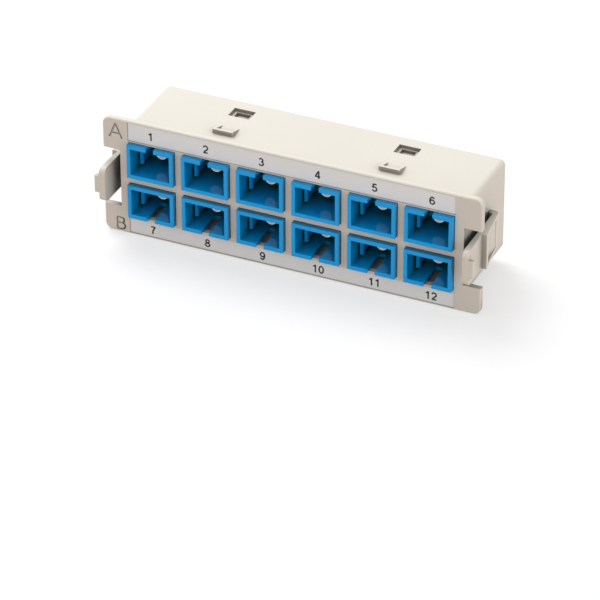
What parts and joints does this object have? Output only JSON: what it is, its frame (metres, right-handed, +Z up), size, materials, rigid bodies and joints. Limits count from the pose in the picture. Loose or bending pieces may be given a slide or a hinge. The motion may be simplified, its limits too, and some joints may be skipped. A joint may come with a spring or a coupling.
{
  "type": "fibre cassette",
  "caption": "Snap-in fibre cassette: moulded housing with front plate and side latches, carrying two rows of simplex through-adapters.",
  "frame": {"origin": "centre of the panel opening, in the plane where the front plate seats on the panel", "axes": "+X along the rows, to the right seen from the front; +Y into the panel, towards the rear; +Z up, from row B to row A"},
  "size_m": [0.102, 0.0319, 0.0325],
  "materials": {
    "housing_plastic": "fine moulded satin, ivory",
    "adapter_plastic": "smooth moulded blue",
    "ceramic": "ground white zirconia",
    "strip_film": "matt printed film, light grey"
  },
  "bodies": {
    "cassette": {"housing": "housing_plastic", "port_strip_top": "strip_film", "port_strip_bottom": "strip_film", "adapter_shell_01": "adapter_plastic", "sleeve_holder_front_01": "adapter_plastic", "sleeve_holder_rear_01": "adapter_plastic", "split_sleeve_01": "ceramic", "adapter_shell_02": "adapter_plastic", "sleeve_holder_front_02": "adapter_plastic", "sleeve_holder_rear_02": "adapter_plastic", "split_sleeve_02": "ceramic", "adapter_shell_03": "adapter_plastic", "sleeve_holder_front_03": "adapter_plastic", "sleeve_holder_rear_03": "adapter_plastic", "split_sleeve_03": "ceramic", "adapter_shell_04": "adapter_plastic", "sleeve_holder_front_04": "adapter_plastic", "sleeve_holder_rear_04": "adapter_plastic", "split_sleeve_04": "ceramic", "adapter_shell_05": "adapter_plastic", "sleeve_holder_front_05": "adapter_plastic", "sleeve_holder_rear_05": "adapter_plastic", "split_sleeve_05": "ceramic", "adapter_shell_06": "adapter_plastic", "sleeve_holder_front_06": "adapter_plastic", "sleeve_holder_rear_06": "adapter_plastic", "split_sleeve_06": "ceramic", "adapter_shell_07": "adapter_plastic", "sleeve_holder_front_07": "adapter_plastic", "sleeve_holder_rear_07": "adapter_plastic", "split_sleeve_07": "ceramic", "adapter_shell_08": "adapter_plastic", "sleeve_holder_front_08": "adapter_plastic", "sleeve_holder_rear_08": "adapter_plastic", "split_sleeve_08": "ceramic", "adapter_shell_09": "adapter_plastic", "sleeve_holder_front_09": "adapter_plastic", "sleeve_holder_rear_09": "adapter_plastic", "split_sleeve_09": "ceramic", "adapter_shell_10": "adapter_plastic", "sleeve_holder_front_10": "adapter_plastic", "sleeve_holder_rear_10": "adapter_plastic", "split_sleeve_10": "ceramic", "adapter_shell_11": "adapter_plastic", "sleeve_holder_front_11": "adapter_plastic", "sleeve_holder_rear_11": "adapter_plastic", "split_sleeve_11": "ceramic", "adapter_shell_12": "adapter_plastic", "sleeve_holder_front_12": "adapter_plastic", "sleeve_holder_rear_12": "adapter_plastic", "split_sleeve_12": "ceramic"},
    "left_latch": {"latch_left": "housing_plastic"},
    "right_latch": {"latch_right": "housing_plastic"}
  },
  "joints": [
    {"name": "left_latch_flex", "type": "hinge", "parent": "cassette", "child": "left_latch", "pos_m": [-0.04671, 0.01295, 0], "axis": [0, 0, 1], "range_deg": [0, 5.8], "stiffness_Nm_per_rad": 0.35},
    {"name": "right_latch_flex", "type": "hinge", "parent": "cassette", "child": "right_latch", "pos_m": [0.04671, 0.01295, 0], "axis": [0, 0, -1], "range_deg": [0, 5.8], "stiffness_Nm_per_rad": 0.35}
  ]
}
